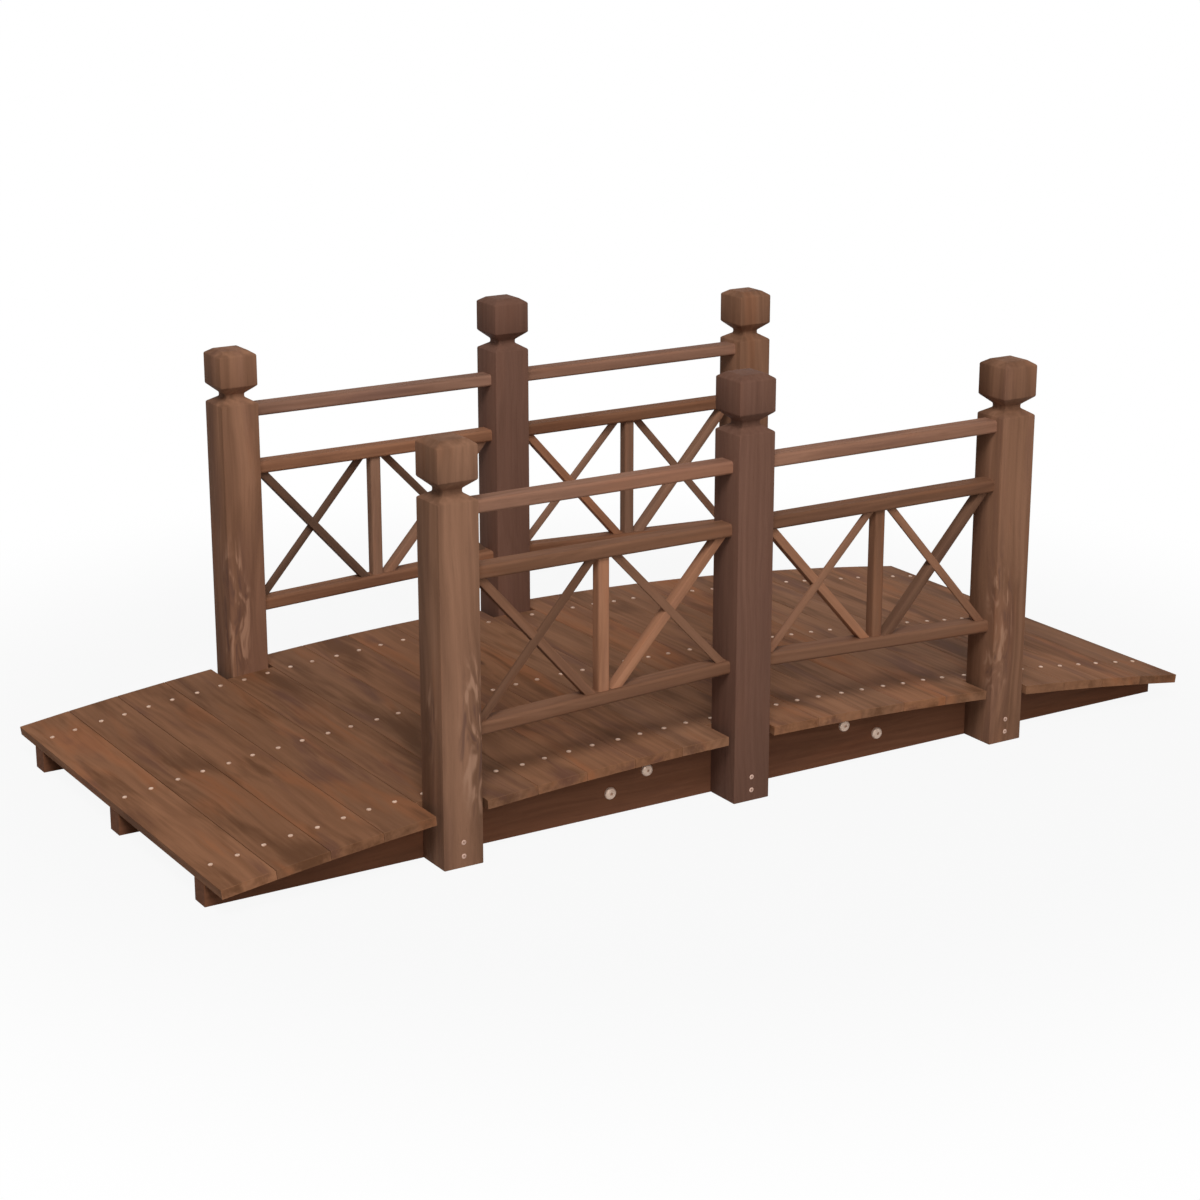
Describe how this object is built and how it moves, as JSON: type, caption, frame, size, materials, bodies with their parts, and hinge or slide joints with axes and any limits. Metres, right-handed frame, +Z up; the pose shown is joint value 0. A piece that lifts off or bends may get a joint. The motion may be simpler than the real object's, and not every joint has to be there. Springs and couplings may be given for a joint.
{
  "type": "low arched garden footbridge",
  "caption": "Low arched timber garden footbridge: boarded deck on curved stringers, with square posts and crossed-slat railings on both sides.",
  "frame": {"origin": "on the ground under the crown of the deck, on the centre line", "axes": "+X along the bridge to the right-hand end in the picture, +Y across it to the far railing, +Z up"},
  "size_m": [1.4998, 0.67, 0.566],
  "materials": {
    "stringer_timber": "brown stained softwood, satin",
    "deck_timber": "brown stained softwood, satin, grain across the bridge",
    "post_timber": "brown stained softwood, satin, grain upright",
    "middle_post_timber": "dark brown stained softwood, satin, grain upright",
    "rail_timber": "brown stained softwood, satin, grain along the rail",
    "lattice_timber": "orange brown stained softwood, satin",
    "fasteners": "pale zinc-plated heads"
  },
  "bodies": {
    "root": {"near_stringer": "stringer_timber", "middle_stringer": "stringer_timber", "far_stringer": "stringer_timber", "deck_board_01": "deck_timber", "deck_board_02": "deck_timber", "deck_board_03": "deck_timber", "deck_board_04": "deck_timber", "deck_board_05": "deck_timber", "deck_board_06": "deck_timber", "deck_board_07": "deck_timber", "deck_board_08": "deck_timber", "deck_board_09": "deck_timber", "deck_board_10": "deck_timber", "deck_board_11": "deck_timber", "deck_board_12": "deck_timber", "deck_board_13": "deck_timber", "deck_board_14": "deck_timber", "deck_board_15": "deck_timber", "deck_board_16": "deck_timber", "deck_board_17": "deck_timber", "deck_board_18": "deck_timber", "deck_board_19": "deck_timber", "deck_board_20": "deck_timber", "deck_board_21": "deck_timber", "near_left_post": "post_timber", "near_right_post": "post_timber", "far_left_post": "post_timber", "far_right_post": "post_timber", "near_middle_post": "middle_post_timber", "far_middle_post": "middle_post_timber", "near_left_handrail": "rail_timber", "near_left_mid_rail": "rail_timber", "near_left_bottom_rail": "rail_timber", "near_right_handrail": "rail_timber", "near_right_mid_rail": "rail_timber", "near_right_bottom_rail": "rail_timber", "far_left_handrail": "rail_timber", "far_left_mid_rail": "rail_timber", "far_left_bottom_rail": "rail_timber", "far_right_handrail": "rail_timber", "far_right_mid_rail": "rail_timber", "far_right_bottom_rail": "rail_timber", "near_left_lattice": "lattice_timber", "near_right_lattice": "lattice_timber", "far_left_lattice": "lattice_timber", "far_right_lattice": "lattice_timber"}
  },
  "joints": []
}
